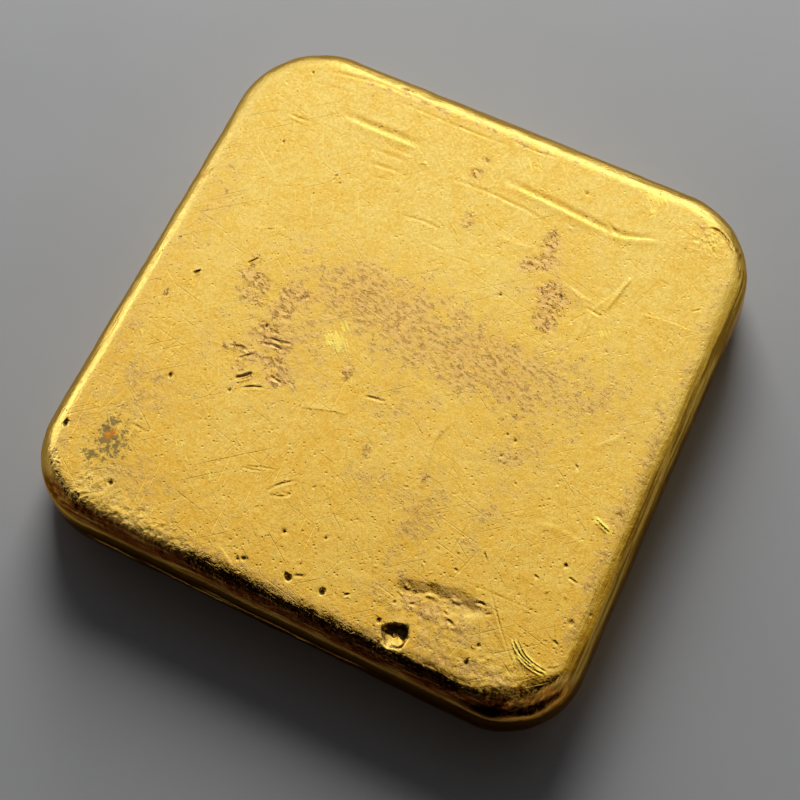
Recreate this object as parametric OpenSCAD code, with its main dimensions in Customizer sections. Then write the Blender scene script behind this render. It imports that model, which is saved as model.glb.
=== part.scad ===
// Square cast gold bar, one solid casting of about 250 g.
// It lies with its moulded face up and the face that froze in the open air down.
// Millimetres. The origin is the middle of the footprint, on the surface that the bar
// rests on, with +X to the right, +Y to the back and +Z up.

/* [Bar] */
// Width of the upper face, left to right, before its edge is rounded
top_w = 45; // [30:0.5:70]
// Depth of the upper face, front to back, before its edge is rounded
top_d = 45.5; // [30:0.5:70]
// Height of the bar
height = 6.4; // [5:0.1:12]
// Slope of the side walls in degrees, which widens the bar towards its underside
draft = 8; // [0:0.5:15]

/* [Rounding] */
// Radius of the edge between the upper face and the walls
top_edge_r = 2; // [0.5:0.1:2.3]
// Radius of the edge between the walls and the underside
base_edge_r = 2; // [0.5:0.1:2.3]
// Radius of the two back corners, seen from above
back_corner_r = 7.3; // [4:0.1:12]
// Radius of the front left corner, seen from above
front_left_corner_r = 6.3; // [4:0.1:12]
// Radius of the front right corner, seen from above
front_right_corner_r = 5.8; // [4:0.1:12]

/* [Casting marks] */
// Share of the upper face's width that the shallow shrinkage dish in the underside takes
dish_share = 0.75; // [0.3:0.05:0.8]
// Depth of that dish at its middle
dish_depth = 0.3; // [0.1:0.05:0.6]
// Size of the gas pits in the upper face, where 1 is their usual size
pit_scale = 1; // [0.5:0.1:1.5]

/* [Hidden] */
// Degrees between two neighbouring points on a rounded edge
arc_step = 7;
// Half the width of the dish, and the radius of the sphere that cuts it
dish_half_w = dish_share * min(top_w, top_d) / 2;
dish_r = (pow(dish_half_w, 2) + pow(dish_depth, 2)) / (2 * dish_depth);
// Largest gas pits: share of the half width right of the middle, distance in from the
// front of the upper face, radius
gas_pits = [[0.41, 2.4, 0.65], [0.02, 2.8, 0.28], [0.13, 2.9, 0.24], [0.66, 2.8, 0.2]];
// Corners, anticlockwise from the back right one: centre x, centre y, radius, first angle
corners = [
    [top_w / 2 - back_corner_r, top_d / 2 - back_corner_r, back_corner_r, 0],
    [back_corner_r - top_w / 2, top_d / 2 - back_corner_r, back_corner_r, 90],
    [front_left_corner_r - top_w / 2, front_left_corner_r - top_d / 2, front_left_corner_r, 180],
    [top_w / 2 - front_right_corner_r, front_right_corner_r - top_d / 2, front_right_corner_r, 270]
];

// Points on an arc about the point (x, z), from one angle to another
function arc_points(x, z, r, from, to) =
    let (steps = ceil((to - from) / arc_step))
    [for (i = [0 : steps]) let (a = from + (to - from) * i / steps) [x + r * cos(a), z + r * sin(a)]];

// Section through the bar's rim, from the point r inside the upper outline out to the wall
function rim_section(r) =
    let (
        lower_x = r + (height - base_edge_r) * tan(draft) - base_edge_r / cos(draft),
        upper_x = r - top_edge_r * (1 - sin(draft)) / cos(draft)
    )
    concat(
        [[0, 0]],
        arc_points(lower_x, base_edge_r, base_edge_r, -90, draft),
        arc_points(upper_x, height - top_edge_r, top_edge_r, draft, 90),
        [[0, height]]
    );

// One rounded corner, a quarter turn of the rim section
module corner(c)
    translate([c[0], c[1], 0])
        rotate(c[3])
            rotate_extrude(angle = 90, $fn = 96)
                polygon(rim_section(c[2]));

// The straight side that runs from corner a to corner b
module side(a, b) {
    depth = max(a[2], b[2]);
    length = (a[0] - b[0]) * sin(b[3]) + (b[1] - a[1]) * cos(b[3]);
    translate([b[0], b[1], 0])
        rotate(b[3])
            translate([b[2] - depth, 0, 0])
                rotate([90, 0, 0])
                    linear_extrude(length)
                        polygon(rim_section(depth));
}

// The bar before shrinkage and gas have marked it
module plain_casting() {
    linear_extrude(height)
        polygon([for (c = corners) [c[0], c[1]]]);
    for (i = [0 : 3]) {
        corner(corners[i]);
        side(corners[i], corners[(i + 1) % 4]);
    }
}

// The shallow dish in the underside
module shrinkage_dish()
    translate([0, 0, dish_depth - dish_r])
        sphere(r = dish_r, $fn = 200);

// The round pits that gas bubbles left in the upper face
module gas_pit_hollows()
    for (p = gas_pits)
        translate([p[0] * top_w / 2, p[1] - top_d / 2, height])
            sphere(r = p[2] * pit_scale, $fn = 32);

// The whole bar
module cast_bar()
    color("goldenrod")
        difference() {
            plain_casting();
            shrinkage_dish();
            gas_pit_hollows();
        }

cast_bar();
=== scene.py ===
"""Looks of the cast gold bar: one closed, detailed mesh of the whole casting, its gold, and a plain studio.

The form is worked out in millimetres and turned into metres when the mesh is made.
X is to the right, Y to the back and Z up, with the origin in the middle of the footprint.
"""
import itertools
import math
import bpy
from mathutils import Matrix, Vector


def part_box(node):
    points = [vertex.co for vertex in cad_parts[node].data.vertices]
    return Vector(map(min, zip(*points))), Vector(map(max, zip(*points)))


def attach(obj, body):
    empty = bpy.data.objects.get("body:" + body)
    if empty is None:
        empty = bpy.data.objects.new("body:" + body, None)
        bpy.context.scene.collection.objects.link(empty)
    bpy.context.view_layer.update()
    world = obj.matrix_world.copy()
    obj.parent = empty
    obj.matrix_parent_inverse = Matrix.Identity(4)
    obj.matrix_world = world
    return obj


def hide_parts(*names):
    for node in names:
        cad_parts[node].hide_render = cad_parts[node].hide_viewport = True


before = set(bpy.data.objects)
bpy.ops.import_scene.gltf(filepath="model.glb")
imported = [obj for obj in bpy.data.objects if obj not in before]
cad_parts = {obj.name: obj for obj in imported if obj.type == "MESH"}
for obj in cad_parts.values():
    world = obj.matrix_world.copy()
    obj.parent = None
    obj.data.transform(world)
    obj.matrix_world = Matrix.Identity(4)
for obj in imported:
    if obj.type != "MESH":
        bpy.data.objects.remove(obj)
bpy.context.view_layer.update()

from types import SimpleNamespace

import bpy
import numpy as np
from mathutils import Matrix, Vector

MM = 0.001

# ---------------------------------------------------------------- the bar's form

BOX_HIGH = np.array(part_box("cast_bar")[1]) / MM
HEIGHT = BOX_HIGH[2]
DRAFT = math.radians(8)
BASE_EDGE_R = 2.0
FLARE = (HEIGHT - BASE_EDGE_R) * math.tan(DRAFT) + BASE_EDGE_R * (1 - 1 / math.cos(DRAFT))
HALF_W, HALF_D = BOX_HIGH[0] - FLARE, BOX_HIGH[1] - FLARE  # half the upper face, before rounding

# Radius of the rounded upper edge on each side, and of each corner seen from above
EDGE_R = {"right": 2.1, "back": 2.3, "left": 1.8, "front": 2.2}
CORNER_R = {(1, 1): 7.3, (-1, 1): 7.3, (-1, -1): 6.3, (1, -1): 5.8}

TOP_NOISE = 0.08       # the marks are sunk by this much, so that they don't make the bar taller
PITCH = 0.1            # distance between grid lines on the upper face
FLAT_INSET = 2.6       # every rounded edge starts nearer the upper outline than this
RING_COUNTS = (8, 26, 20, 14)  # grid lines over the shoulder, upper edge, wall and lower edge
COARSE = 4             # the underside uses every fourth grid line
TRIANGLES = 195_000    # the finished mesh's size

# The shrinkage dish in the underside
DISH_R, DISH_DEPTH = 16.9, 0.3
RIM_INSET = 1.9        # the worn rim begins this far inside the upper outline


def smooth(x):
    """0 below 0, 1 above 1, and a smooth rise between."""
    x = np.clip(x, 0, 1)
    return x * x * (3 - 2 * x)


def noise(points, cell, seed):
    """Smooth random values between -1 and 1, which change over about one cell."""
    size = 64
    lattice = np.random.default_rng(seed).uniform(-1, 1, (size, size, size))
    scaled = points / cell
    base = np.floor(scaled).astype(int)
    part = smooth(scaled - base)
    total = np.zeros(len(points))
    for step in itertools.product((0, 1), repeat=3):
        weight = np.prod([part[:, k] if step[k] else 1 - part[:, k] for k in range(3)], axis=0)
        i, j, k = ((base[:, n] + step[n]) % size for n in range(3))
        total += weight * lattice[i, j, k]
    return total


def fractal(points, cell, octaves, seed):
    """Noise with finer and fainter noise added to it."""
    return sum(noise(points, cell / 2**n, seed + n) / 2**n for n in range(octaves))


def grid_lines(half):
    """One direction's grid lines: distance past the upper outline, ring number, side and place."""
    count = int(2 * (half - FLAT_INSET) / PITCH)
    count += (1 - (count + 2 * sum(RING_COUNTS))) % COARSE
    flat = np.linspace(FLAT_INSET - half, half - FLAT_INSET, count)
    rings = np.concatenate([n - 1 + np.arange(1, c + 1) / c for n, c in enumerate(RING_COUNTS)])
    past = PITCH * np.arange(1, len(rings) + 1) - FLAT_INSET
    distance = np.concatenate([past[::-1], np.abs(flat) - half, past])
    ring = np.concatenate([rings[::-1], np.full(count, -1.0), rings])
    side = np.concatenate([np.full(len(rings), -1), np.where(flat < 0, -1, 1), np.full(len(rings), 1)])
    place = np.concatenate([np.zeros(len(rings)), flat, np.zeros(len(rings))])
    return distance, ring, side, place


def side_radius(direction_x, direction_y):
    """Radius of the rounded upper edge where the wall faces this way."""
    turn = np.degrees(np.arctan2(direction_y, direction_x)) % 360 / 90
    radii = np.array([EDGE_R[name] for name in ("right", "back", "left", "front")])
    first = np.floor(turn).astype(int) % 4
    return radii[first] + (radii[(first + 1) % 4] - radii[first]) * smooth(turn - np.floor(turn))


def rim_profile(ring, radius):
    """Distance past the upper outline, height and normal on the rim, where ring runs from -1 to 3."""
    tan, sin, cos = math.tan(DRAFT), math.sin(DRAFT), math.cos(DRAFT)
    upper_x = -radius * (1 - sin) / cos
    lower_x = (HEIGHT - BASE_EDGE_R) * tan - BASE_EDGE_R / cos
    quarter = math.pi / 2
    upper_turn = quarter - np.clip(ring, 0, 1) * (quarter - DRAFT)
    lower_turn = DRAFT - np.clip(ring - 2, 0, 1) * (quarter + DRAFT)
    wall = np.clip(ring - 1, 0, 1)
    upper = upper_x + radius * np.cos(upper_turn), HEIGHT - radius + radius * np.sin(upper_turn)
    lower = lower_x + BASE_EDGE_R * np.cos(lower_turn), BASE_EDGE_R * (1 + np.sin(lower_turn))
    on_wall = ring > 1
    x = np.where(on_wall, upper[0] + (lower[0] - upper[0]) * wall, upper[0])
    z = np.where(on_wall, upper[1] + (lower[1] - upper[1]) * wall, upper[1])
    x = np.where(ring > 2, lower[0], x)
    z = np.where(ring > 2, lower[1], z)
    x = np.where(ring < 0, -FLAT_INSET + (upper_x + FLAT_INSET) * (ring + 1), x)
    turn = np.where(ring > 2, lower_turn, upper_turn)
    return x, z, np.cos(turn), np.sin(turn)


def spread(lines_x, lines_y, rim):
    """Places every crossing of the grid lines. rim(ring, radius) gives the profile past the flat.
    In a corner the square cells are bent round the corner's centre."""
    (dist_x, ring_x, side_x, place_x) = (v[:, None] for v in lines_x)
    (dist_y, ring_y, side_y, place_y) = (v[None, :] for v in lines_y)
    shape = (dist_x.size, dist_y.size)
    corner_r = np.zeros(shape)
    for (sx, sy), r in CORNER_R.items():
        corner_r[(side_x == sx) & (side_y == sy)] = r
    reach_x, reach_y = dist_x + corner_r, dist_y + corner_r
    ring = np.maximum(ring_x, ring_y)
    corner = (reach_x > 0) & (reach_y > 0)
    longer = np.maximum(np.maximum(reach_x, reach_y), 1e-9)
    along = np.clip(np.minimum(reach_x, reach_y) / longer, 0, 1) * math.pi / 4
    turn = np.where(reach_x >= reach_y, along, math.pi / 2 - along)
    dir_x = np.where(corner, np.cos(turn), np.where(reach_x > reach_y, 1.0, 0.0)) * side_x
    dir_y = np.where(corner, np.sin(turn), np.where(reach_x > reach_y, 0.0, 1.0)) * side_y
    past, z, out, up = rim(ring, side_radius(dir_x, dir_y))
    distance = np.where(ring > -1, past, np.maximum(dist_x, dist_y))
    x = np.where(ring_x > -1, side_x * (HALF_W + distance), place_x + 0 * ring_y)
    y = np.where(ring_y > -1, side_y * (HALF_D + distance), place_y + 0 * ring_x)
    x = np.where(corner, side_x * (HALF_W - corner_r) + (corner_r + distance) * dir_x, x)
    y = np.where(corner, side_y * (HALF_D - corner_r) + (corner_r + distance) * dir_y, y)
    points = np.stack([x, y, z + 0 * x], axis=-1)
    flat = ring <= 0
    normals = np.stack([np.where(flat, 0, out * dir_x), np.where(flat, 0, out * dir_y),
                        np.where(flat, 1, up)], axis=-1)
    return points, normals


# ---------------------------------------------------------------- casting marks and wear

# The blowhole near the front edge, where gas burst out: a ragged hole under an overhang whose back is
# painted black as shade, with a bright slope in front of it
BLOWHOLE, BLOWHOLE_R, BLOWHOLE_DEPTH = np.array([9.25, -20.45]), 1.0, 0.55

# Gas pits in the upper face: x, y, radius, depth
PITS = [
    (0.25, -19.95, 0.25, 0.26), (3.00, -19.85, 0.22, 0.24), (14.8, -19.95, 0.20, 0.18),
    (7.75, -20.0, 0.16, 0.09), (1.45, -16.15, 0.11, 0.09), (0.70, -15.95, 0.09, 0.04),
    (8.20, -18.25, 0.12, 0.08), (15.1, -18.5, 0.12, 0.10), (11.15, -3.1, 0.11, 0.09),
    (10.4, -2.87, 0.10, 0.08), (10.65, -4.65, 0.11, 0.08), (18.5, -10.35, 0.13, 0.10),
    (20.5, -14.1, 0.22, 0.05), (20.55, -5.1, 0.25, 0.04), (21.6, -12.9, 0.13, 0.10),
    (-21.0, -16.65, 0.22, 0.16), (-1.6, -17.05, 0.12, 0.09), (-3.4, -20.2, 0.12, 0.09),
    (-3.8, -20.4, 0.11, 0.07), (-15.4, -19.3, 0.17, 0.14), (-10.7, -8.8, 0.13, 0.08),
    (-15.5, -9.7, 0.16, 0.10), (5.1, 7.55, 0.11, 0.08), (14.6, 6.65, 0.09, 0.06),
    (7.8, 18.75, 0.10, 0.08), (6.6, 21.4, 0.10, 0.06), (9.5, 9.5, 0.12, 0.09),
    (9.1, 9.4, 0.10, 0.07), (8.2, 9.7, 0.11, 0.07), (-11.0, 11.1, 0.08, 0.07),
    (-17.0, 12.6, 0.15, 0.07), (-6.4, 12.35, 0.12, 0.05), (-17.8, 19.6, 0.12, 0.07),
    (-10.6, -2.75, 0.14, 0.10), (-19.1, -3.8, 0.12, 0.06), (0.6, -18.7, 0.09, 0.05),
]

# Grooves and ridges in the upper face: width, depth (raised where negative), points it runs through
STROKES = [
    # wrinkles left where the metal froze in laps
    (0.28, 0.045, [(-13.7, 17.15), (-10.5, 17.1), (-6.4, 17.15)]),
    (0.16, 0.020, [(-8.7, 15.9), (-6.5, 16.0)]),
    (0.14, 0.018, [(-8.4, 16.35), (-6.7, 16.3)]),
    (0.14, 0.020, [(-10.0, 15.2), (-6.7, 15.2)]),
    (0.16, 0.022, [(-9.9, 13.8), (-8.2, 14.0), (-6.5, 14.05)]),
    (0.12, 0.015, [(-9.0, 12.8), (-7.6, 13.0)]),
    (0.12, -0.030, [(-5.9, 15.3), (-5.5, 15.72), (-5.0, 15.4)]),
    (0.12, 0.030, [(-18.1, 15.3), (-17.0, 15.15), (-15.8, 15.3)]),
    (0.10, 0.020, [(-17.3, 14.7), (-16.3, 14.65)]),
    (0.10, 0.060, [(13.6, -15.7), (14.0, -15.6), (14.4, -15.65)]),
    (0.10, 0.060, [(9.2, -17.95), (9.6, -17.75)]),
    (0.12, 0.060, [(12.1, -17.85), (12.55, -17.85), (12.95, -18.05)]),
    (0.09, 0.050, [(11.7, -17.35), (12.15, -17.45)]),
    (0.12, -0.050, [(8.3, -16.7), (8.75, -16.9)]),
    (0.14, -0.050, [(10.0, -16.75), (10.95, -16.6)]),
    (0.13, -0.050, [(11.85, -16.3), (12.7, -16.2)]),
    (0.08, -0.035, [(8.0, -17.3), (8.8, -17.6)]),
    (0.12, 0.020, [(-16.0, 19.0), (-15.0, 19.1), (-13.8, 19.3)]),
    (0.16, 0.035, [(-16.6, 20.25), (-14.5, 20.7), (-12.5, 21.0), (-10.0, 21.05), (-7.0, 20.95)]),
    (0.12, 0.022, [(-10.0, 20.1), (-5.0, 20.05), (0.5, 20.1)]),
    (0.10, 0.020, [(0.0, 20.7), (2.5, 20.6), (4.5, 20.85)]),
    (0.26, 0.042, [(1.0, 17.15), (4.0, 17.0), (7.5, 16.75), (11.3, 16.5), (13.0, 16.85), (14.6, 17.35)]),
    (0.12, 0.030, [(10.2, 17.2), (10.8, 16.75), (11.4, 16.5)]),
    (0.14, 0.025, [(-3.0, 15.35), (0.0, 15.5), (4.0, 15.3), (6.0, 15.0)]),
    (0.12, 0.025, [(-5.0, 10.5), (-3.7, 10.85), (-1.8, 10.8)]),
    (0.08, 0.015, [(-2.0, 9.2), (-0.5, 9.15)]),
    (0.08, 0.015, [(0.2, 9.0), (1.8, 9.05)]),
    # knocks and scratches
    (0.13, -0.025, [(9.9, 10.45), (11.0, 10.1), (11.9, 10.0)]),
    (0.10, 0.035, [(11.7, 9.4), (13.1, 9.2)]),
    (0.15, -0.035, [(13.1, 9.6), (13.5, 11.3), (13.9, 13.3)]),
    (0.06, 0.025, [(15.6, 10.85), (18.0, 11.1), (20.3, 11.2)]),
    (0.07, 0.020, [(15.9, 14.1), (17.2, 13.9)]),
    (0.07, 0.020, [(19.3, 12.6), (20.0, 13.1)]),
    (0.08, 0.025, [(11.95, 9.6), (12.2, 7.6), (12.25, 6.4)]),
    (0.06, 0.015, [(12.0, 8.75), (11.5, 8.5), (10.9, 7.4)]),
    (0.09, 0.030, [(-1.0, -4.75), (0.8, -4.45)]),
    (0.06, 0.016, [(-5.2, -7.85), (-3.2, -7.2), (-1.2, -6.7)]),
    (0.06, 0.025, [(-6.85, -13.95), (-5.2, -13.5)]),
    (0.06, 0.020, [(-6.7, -13.75), (-5.0, -13.15), (-4.1, -12.95)]),
    (0.10, 0.025, [(-4.3, -14.8), (-3.6, -13.9), (-2.6, -13.1)]),
    (0.10, 0.025, [(-4.1, -15.0), (-3.2, -14.75), (-2.5, -14.2), (-2.5, -13.2)]),
    (0.07, 0.020, [(-3.2, -14.4), (-2.6, -14.25)]),
    (0.06, 0.012, [(12.0, -14.65), (18.5, -14.4)]),
    (0.07, 0.022, [(14.2, -14.4), (16.0, -16.6), (18.5, -19.3)]),
    (0.10, 0.025, [(-16.3, -14.45), (-14.8, -14.6)]),
    (0.07, 0.015, [(10.7, -10.2), (10.4, -13.3)]),
    (0.09, 0.110, [(-18.05, -1.2), (-17.65, -0.72)]),
    (0.08, 0.070, [(-11.75, 11.5), (-11.5, 11.6), (-11.6, 11.0)]),
    (0.08, 0.050, [(4.6, -19.4), (4.95, -19.15)]),
    (0.09, 0.030, [(0.55, -19.7), (0.9, -19.55), (1.35, -19.4)]),
    (0.08, 0.050, [(16.0, -2.85), (16.35, -3.1)]),
    (0.07, 0.050, [(16.6, -12.0), (17.1, -12.1)]),
    (0.07, 0.040, [(12.6, -12.0), (13.0, -12.5)]),
    (0.07, 0.050, [(19.0, -11.05), (19.8, -11.25)]),
    (0.08, 0.050, [(19.8, -15.8), (20.3, -16.0)]),
    (0.10, 0.030, [(-14.6, 4.7), (-13.7, 5.25)]),
    (0.09, 0.060, [(-14.5, 1.4), (-13.9, 2.25)]),
    (0.14, 0.110, [(-10.75, -7.75), (-10.2, -7.3), (-9.75, -6.8)]),
    (0.09, 0.045, [(-9.9, -8.2), (-9.2, -7.8), (-8.4, -7.5)]),
    (0.09, 0.060, [(-8.4, -6.4), (-7.3, -6.6)]),
    (0.09, 0.060, [(-9.9, -3.6), (-8.9, -3.5), (-8.1, -3.3)]),
    (0.09, 0.060, [(-10.2, -4.2), (-9.2, -4.0), (-8.5, -4.1)]),
    (0.09, 0.050, [(-12.6, -5.5), (-11.6, -5.2), (-10.9, -5.3)]),
    (0.08, 0.050, [(-11.3, -6.1), (-10.4, -5.3)]),
    (0.10, 0.050, [(-10.4, -2.9), (-9.4, -3.0)]),
    (0.12, 0.130, [(18.0, 20.1), (18.9, 20.1), (19.9, 19.6), (20.4, 19.1)]),
    (0.08, 0.040, [(17.9, 19.1), (18.4, 18.7), (19.2, 18.0)]),
    (0.10, 0.050, [(-21.15, 8.0), (-21.5, 7.2)]),
]

# Strokes narrower than THIN_W are cut deeper than the table says by the first gain, others by the second
THIN_W, THIN_GAIN, WIDE_GAIN = 0.1, 1.5, 1.2

# Fine scratches with a burr on the left of the line: height, points
BURRS = [
    (0.035, [(-5.8, -19.95), (-4.7, -20.55), (-3.7, -21.15)]),
    (0.028, [(15.6, 10.85), (18.0, 11.1), (20.3, 11.2)]),
    (0.030, [(9.0, 10.75), (10.3, 10.2), (11.9, 9.55)]),
    (0.030, [(12.2, 9.6), (13.2, 11.3), (13.9, 13.3)]),
    (0.030, [(1.5, 16.75), (4.0, 16.65), (7.5, 16.4), (10.8, 16.15)]),
    (0.035, [(10.8, 16.15), (12.0, 16.3), (13.4, 16.8), (14.8, 17.3)]),
    (0.030, [(-13.5, 16.75), (-10.5, 16.7), (-6.8, 16.8)]),
    (0.035, [(6.3, -3.4), (5.6, -5.6), (5.9, -7.6), (6.4, -10.1), (6.9, -13.3)]),
    (0.022, [(-1.2, -6.7), (-3.2, -7.2), (-5.2, -7.85)]),
    (0.020, [(4.9, 5.4), (4.7, 8.0), (4.9, 10.2)]),
    (0.025, [(12.3, 9.4), (12.4, 7.8), (12.1, 6.3)]),
    (0.020, [(14.5, -14.5), (16.4, -16.9), (18.3, -19.0)]),
    (0.020, [(2.2, 12.4), (4.4, 12.2), (6.4, 12.6)]),
    (0.020, [(-15.5, 4.6), (-14.2, 5.1), (-13.2, 5.6)]),
    (0.060, [(17.1, -20.15), (18.0, -20.25), (19.0, -19.9)]),
    (0.050, [(17.5, -17.0), (18.2, -17.6), (19.1, -17.9), (20.0, -18.0)]),
    (0.040, [(18.0, -17.9), (18.8, -18.35), (20.2, -18.5)]),
    (0.045, [(19.1, -6.0), (19.7, -6.2), (20.5, -6.5)]),
    (0.020, [(15.0, -8.2), (17.0, -8.0), (19.4, -8.3)]),
    (0.022, [(16.6, -1.0), (18.0, 0.4), (18.7, 2.2)]),
]

# Gouges cut by a knock, each with several strands and raised lips: number of strands, spacing, points
GOUGES = [
    (5, 0.085, [(17.4, -17.15), (18.1, -17.75), (19.0, -18.1), (20.1, -18.25)]),
    (2, 0.13, [(19.1, -6.1), (19.7, -6.35), (20.45, -6.65)]),
]
NICKS = 170
STRAND_W, STRAND_DEPTH, STRAND_LIP = 0.055, 0.10, 0.5

# The edge of the cold lap near the front, from left to right. The face is lower in front of it
LAP_EDGE = [
    (7.0, -17.1), (8.2, -16.2), (9.5, -15.8), (11.0, -15.6), (13.2, -15.35), (14.3, -15.7), (14.9, -16.5)]
LAP_DROP, LAP_FACET = 0.12, 0.95

# The front right corner is worn down from this place outwards
CORNER_WEAR_FROM, CORNER_WEAR_DIRECTION = np.array([17.0, -20.5]), np.array([0.57, -0.82])
CORNER_WEAR_DEPTH = 0.32

# Long thin ridges scraped along the front wall: first and last x, first and last z
WALL_LINES = [
    (-16.5, -11.0, 3.0, 2.7), (-12.0, -1.5, 3.2, 2.6), (-7.0, 4.0, 3.5, 3.0), (2.0, 9.0, 3.1, 3.3)]
WALL_LINE_W, WALL_LINE_HEIGHT = 0.10, 0.10
# The painted shade on the front comes in over this same distance
FRONT_FADE = 1.2       # the front edge's own look comes in over this distance

# Coloured spots on the upper face: x, y, half width, half height, strength
ROUGH_SPOTS = [
    (11.0, -17.9, 3.4, 1.2, 0.42), (14.5, -20.4, 2.5, 0.7, 0.42), (7.5, -18.2, 1.5, 1.2, 0.35),
    (6.8, 13.2, 0.8, 1.7, 0.7), (6.9, 11.7, 1.0, 0.8, 0.9), (6.3, 10.8, 0.7, 0.7, 0.8),
    (8.6, 9.3, 1.1, 1.0, 0.9), (9.2, 8.0, 1.1, 1.5, 0.9), (9.2, 6.7, 0.9, 1.0, 0.8),
    (-13.0, 0.4, 1.9, 0.9, 0.75), (-12.6, -0.9, 1.7, 0.9, 0.7), (-9.9, 0.4, 1.2, 0.9, 0.9),
    (-9.0, 0.9, 0.7, 0.5, 0.9), (-14.1, 1.9, 0.8, 0.8, 0.6), (-9.9, -1.1, 1.0, 1.3, 0.75),
    (-10.4, -2.8, 1.2, 0.8, 0.8), (-9.6, -3.8, 1.6, 0.9, 0.8), (-8.5, -5.4, 1.0, 1.1, 0.8),
    (-11.4, -5.7, 1.9, 0.9, 0.65), (-7.6, -6.5, 1.1, 0.5, 0.9), (-10.2, -7.1, 1.2, 0.7, 0.7),
    (-1.2, 16.7, 0.6, 0.4, 1), (-0.9, 18.2, 0.5, 0.3, 0.7), (0.2, 12.4, 0.7, 1.0, 0.6),
    (-3.1, -3.6, 0.5, 0.7, 0.8), (1.1, -8.7, 0.5, 0.6, 0.7), (5.9, -8.8, 0.7, 0.9, 0.5),
    (10.5, -1.3, 0.6, 0.4, 0.7), (17.3, 19.9, 0.5, 0.3, 0.8), (-19.2, -3.7, 0.4, 0.5, 0.7),
    (1.4, 0.8, 0.6, 0.6, 0.6), (19.9, 4.1, 0.4, 0.5, 0.6), (-9.8, 21.5, 0.7, 0.2, 0.8),
    (-5.5, 1.5, 2.5, 1.5, 0.35), (-5.5, -5.0, 1.6, 1.2, 0.3),
]
FILM_SPOTS = [
    (9.2, -16.3, 1.7, 0.45, 1), (12.6, -16.0, 2.0, 0.5, 1),
    (-2.0, 2.5, 9.0, 3.4, 1), (6.0, 1.5, 8.0, 3.0, 1), (13.0, 2.5, 6.0, 3.0, 0.7),
    (-8.5, -2.5, 4.0, 5.0, 0.7), (8.0, 10.0, 3.0, 5.0, 0.5), (7.0, -11.5, 1.5, 3.5, 0.7),
    (3.5, -10.8, 3.0, 1.5, 0.5), (11.5, -3.0, 3.0, 3.0, 0.7), (11.5, -10.0, 1.4, 5.0, 0.5),
    (-17.5, -12.0, 3.5, 2.5, 0.6), (-14.0, -18.5, 4.0, 2.0, 0.6), (11.0, -17.6, 4.0, 1.8, 0.8),
    (14.0, -20.3, 8.0, 0.8, 0.8), (0.0, -20.9, 16.0, 0.6, 0.7), (20.8, -2.0, 0.7, 16.0, 0.8),
    (-20.3, -10.0, 0.6, 9.0, 0.6), (-19.5, 5.0, 1.3, 6.0, 0.5), (-5.0, 20.9, 11.0, 0.35, 0.8),
    (17.5, 5.0, 2.5, 4.0, 0.4), (2.0, -4.0, 4.0, 3.0, 0.5), (-14.5, -5.0, 1.0, 4.0, 0.4),
]
STAIN_SPOTS = [
    (-17.0, -16.4, 1.5, 1.7, 0.75), (-17.8, -14.9, 0.6, 0.4, 1), (-17.9, -15.8, 0.4, 0.5, 0.9),
    (-16.3, -16.0, 0.4, 0.25, 0.9),
    (-16.2, -16.9, 0.35, 0.6, 1), (-17.9, -17.9, 0.5, 0.5, 1), (-15.2, -16.3, 0.25, 0.2, 0.8),
    (-18.2, -16.7, 0.25, 0.4, 0.9), (-17.2, -16.9, 0.2, 0.4, 0.8), (-16.5, -15.5, 0.2, 0.3, 0.8),
]
ORANGE_SPOTS = [
    (19.3, -20.1, 0.8, 0.3, 0.9), (20.9, -19.0, 0.5, 0.5, 0.8), (18.2, -21.0, 0.7, 0.25, 0.7),
    (-17.45, -16.05, 0.3, 0.5, 1), (-17.15, -15.7, 0.35, 0.3, 1), (18.0, -6.2, 0.4, 0.25, 0.5),
    (-13.4, 7.0, 0.35, 2.2, 0.35), (17.5, 19.7, 0.25, 0.25, 0.5), (-21.6, 7.2, 0.15, 0.8, 0.6),
]
HAMMERED_SPOTS = [
    (-12.5, -21.6, 5.0, 1.1, 1), (-16.2, -20.6, 1.6, 1.4, 0.8), (4.0, -22.3, 14.0, 0.8, 0.4),
    (17.0, -20.5, 3.0, 1.5, 0.6), (18.3, 18.9, 1.4, 1.1, 0.6), (21.6, 2.0, 0.7, 18.0, 0.25),
]
FRESH_SPOTS = [
    (-4.9, -1.6, 1.1, 0.8, 0.9), (-5.0, -0.4, 0.5, 0.9, 0.8), (-12.0, -14.2, 0.6, 0.4, 0.6),
    (-11.2, -15.2, 0.5, 0.4, 0.5), (-8.8, -15.7, 0.4, 0.5, 0.6), (13.8, 7.9, 0.6, 0.5, 0.7),
    (2.7, 19.3, 1.5, 0.8, 0.5), (18.5, -17.9, 0.9, 0.5, 0.9), (13.0, 20.8, 0.9, 0.6, 1),
    (18.3, 18.8, 1.3, 1.0, 0.55), (13.2, 19.4, 0.5, 0.5, 0.7),
]


def through(points, steps=8):
    """A smooth line through the points."""
    p = np.array([points[0], *points, points[-1]], float)
    t = np.linspace(0, 1, steps, endpoint=False)[:, None]
    parts = []
    for a, b, c, d in zip(p, p[1:], p[2:], p[3:]):
        bend = (2 * a - 5 * b + 4 * c - d) * t**2 + (3 * b - a - 3 * c + d) * t**3
        parts.append(0.5 * (2 * b + (c - a) * t + bend))
    return np.vstack([*parts, p[-1:]])


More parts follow.
